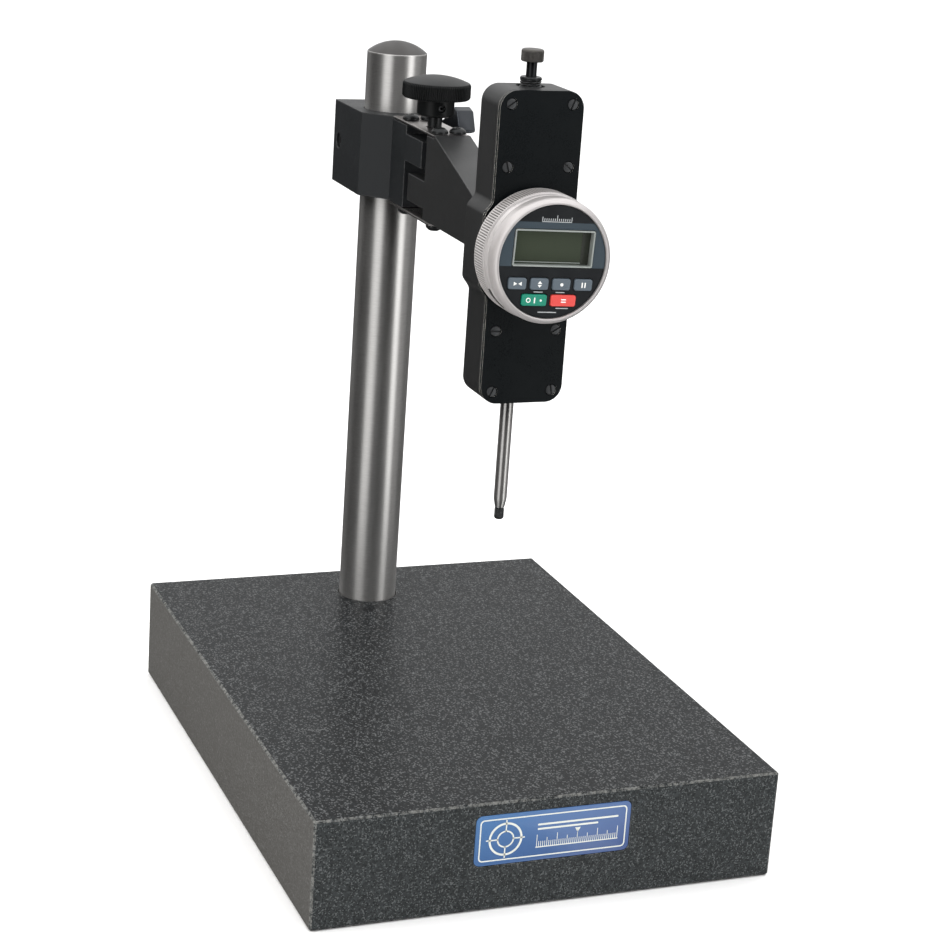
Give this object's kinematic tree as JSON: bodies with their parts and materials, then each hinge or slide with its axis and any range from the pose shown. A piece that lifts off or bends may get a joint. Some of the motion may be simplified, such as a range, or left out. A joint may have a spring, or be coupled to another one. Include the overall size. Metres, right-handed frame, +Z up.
{
  "type": "digital height indicator stand",
  "caption": "Long-travel digital indicator on a flexure arm, clamped to a ground steel column on a black granite base plate.",
  "frame": {"origin": "centre of the granite base's underside", "axes": "+Z up along the column, +X to the right of someone reading the display, the display faces -Y"},
  "size_m": [0.2286, 0.3048, 0.3766],
  "materials": {
    "granite": "honed black granite, fine speckle",
    "ground_steel": "ground and lightly polished",
    "spring_steel": "bright rolled",
    "black_steel": "black oxide",
    "black_anodise": "satin black anodised",
    "cover_black": "smooth black enamel",
    "knob_plastic": "moulded black phenolic",
    "dial_paint": "warm silver-grey satin paint",
    "face_plastic": "printed black plastic with a slate band",
    "frame_silver": "satin silver",
    "battery_steel": "nickel-plated cell can",
    "lcd_glass": "dark olive display glass",
    "key_grey": "moulded slate grey",
    "key_green": "moulded green",
    "key_red": "moulded red",
    "label_blue": "printed blue foil plate",
    "circuit_green": "solder mask",
    "brass": "turned"
  },
  "bodies": {
    "base": {"granite_base": "granite", "front_label": "label_blue", "column_bolt": "black_steel", "bolt_washer": "black_steel"},
    "column": {"column": "ground_steel"},
    "clamp": {"clamp_block": "black_anodise", "top_leaf_spring": "spring_steel", "bottom_leaf_spring": "spring_steel", "leaf_screw_top_rear_left": "black_steel", "leaf_screw_top_rear_right": "black_steel", "leaf_screw_bottom_rear_left": "black_steel", "leaf_screw_bottom_rear_right": "black_steel"},
    "lever": {"lever_stud": "black_steel", "lever_handle": "black_steel", "lever_cap_screw": "black_steel"},
    "arm": {"arm_head": "black_anodise", "leaf_screw_top_front_left": "black_steel", "leaf_screw_top_front_right": "black_steel", "leaf_screw_bottom_front_left": "black_steel", "leaf_screw_bottom_front_right": "black_steel", "indicator_housing": "black_anodise", "cover_plate": "cover_black", "cover_screw_1": "black_steel", "cover_screw_2": "black_steel", "cover_screw_3": "black_steel", "cover_screw_4": "black_steel", "cover_screw_5": "black_steel", "cover_screw_6": "black_steel", "cover_screw_7": "black_steel", "cover_screw_8": "black_steel", "mount_screw_left": "black_steel", "mount_screw_right": "black_steel", "lower_bushing": "brass", "upper_collar": "black_steel", "guide_rod": "ground_steel", "return_spring": "spring_steel", "read_head": "circuit_green", "dial_retainer": "spring_steel"},
    "knob": {"fine_knob": "knob_plastic", "fine_screw": "black_steel", "knob_set_screw": "black_steel"},
    "spindle": {"spindle": "ground_steel", "contact_point": "black_steel", "lift_cap": "black_steel", "scale_carrier": "brass", "encoder_scale": "frame_silver"},
    "dial": {"dial_case": "dial_paint", "bezel_ring": "dial_paint", "face_panel": "face_plastic", "lcd_frame": "frame_silver", "lcd_module": "lcd_glass", "circuit_board": "circuit_green"},
    "tray": {"battery_tray": "face_plastic", "battery": "battery_steel"},
    "key_grey_1_body": {"key_grey_1": "key_grey"},
    "key_grey_2_body": {"key_grey_2": "key_grey"},
    "key_grey_3_body": {"key_grey_3": "key_grey"},
    "key_grey_4_body": {"key_grey_4": "key_grey"},
    "key_green_body": {"key_green": "key_green"},
    "key_red_body": {"key_red": "key_red"}
  },
  "joints": [
    {"name": "arm_swivel", "type": "hinge", "parent": "base", "child": "column", "pos_m": [0, 0.1169, 0], "axis": [0, 0, 1], "continuous": true},
    {"name": "clamp_height", "type": "slide", "parent": "column", "child": "clamp", "axis": [0, 0, 1], "range_m": [-0.1, 0.027]},
    {"name": "clamp_lever", "type": "hinge", "parent": "clamp", "child": "lever", "pos_m": [0, 0.1392, 0.301], "axis": [1, 0, 0], "range_deg": [0, 90]},
    {"name": "fine_adjust", "type": "slide", "parent": "clamp", "child": "arm", "axis": [0, 0, 1], "range_m": [-0.0005, 0.0005], "stiffness_N_per_m": 20000, "springref_m": 0.00027, "deforming": ["top_leaf_spring", "bottom_leaf_spring"]},
    {"name": "knob_turn", "type": "hinge", "parent": "arm", "child": "knob", "pos_m": [0, 0.056, 0.34], "axis": [0, 0, 1], "range_deg": [-360, 360]},
    {"name": "spindle_travel", "type": "slide", "parent": "arm", "child": "spindle", "axis": [0, 0, 1], "range_m": [0, 0.0508], "stiffness_N_per_m": 15, "springref_m": -0.06, "deforming": ["return_spring"]},
    {"name": "dial_turn", "type": "hinge", "parent": "arm", "child": "dial", "pos_m": [0, -0.09, 0.2883], "axis": [0, 1, 0], "range_deg": [-135, 135]},
    {"name": "tray_slide", "type": "slide", "parent": "dial", "child": "tray", "axis": [0.9992, 0, -0.0401], "range_m": [0, 0.03]},
    {"name": "key_grey_1_press", "type": "slide", "parent": "dial", "child": "key_grey_1_body", "axis": [0, 1, 0], "range_m": [0, 0.0008], "stiffness_N_per_m": 400, "springref_m": -0.0005},
    {"name": "key_grey_2_press", "type": "slide", "parent": "dial", "child": "key_grey_2_body", "axis": [0, 1, 0], "range_m": [0, 0.0008], "stiffness_N_per_m": 400, "springref_m": -0.0005},
    {"name": "key_grey_3_press", "type": "slide", "parent": "dial", "child": "key_grey_3_body", "axis": [0, 1, 0], "range_m": [0, 0.0008], "stiffness_N_per_m": 400, "springref_m": -0.0005},
    {"name": "key_grey_4_press", "type": "slide", "parent": "dial", "child": "key_grey_4_body", "axis": [0, 1, 0], "range_m": [0, 0.0008], "stiffness_N_per_m": 400, "springref_m": -0.0005},
    {"name": "key_green_press", "type": "slide", "parent": "dial", "child": "key_green_body", "axis": [0, 1, 0], "range_m": [0, 0.0008], "stiffness_N_per_m": 400, "springref_m": -0.0005},
    {"name": "key_red_press", "type": "slide", "parent": "dial", "child": "key_red_body", "axis": [0, 1, 0], "range_m": [0, 0.0008], "stiffness_N_per_m": 400, "springref_m": -0.0005}
  ],
  "couplings": [
    {"joint": "knob_turn", "follows": "fine_adjust", "rad_per_m": 12566}
  ]
}
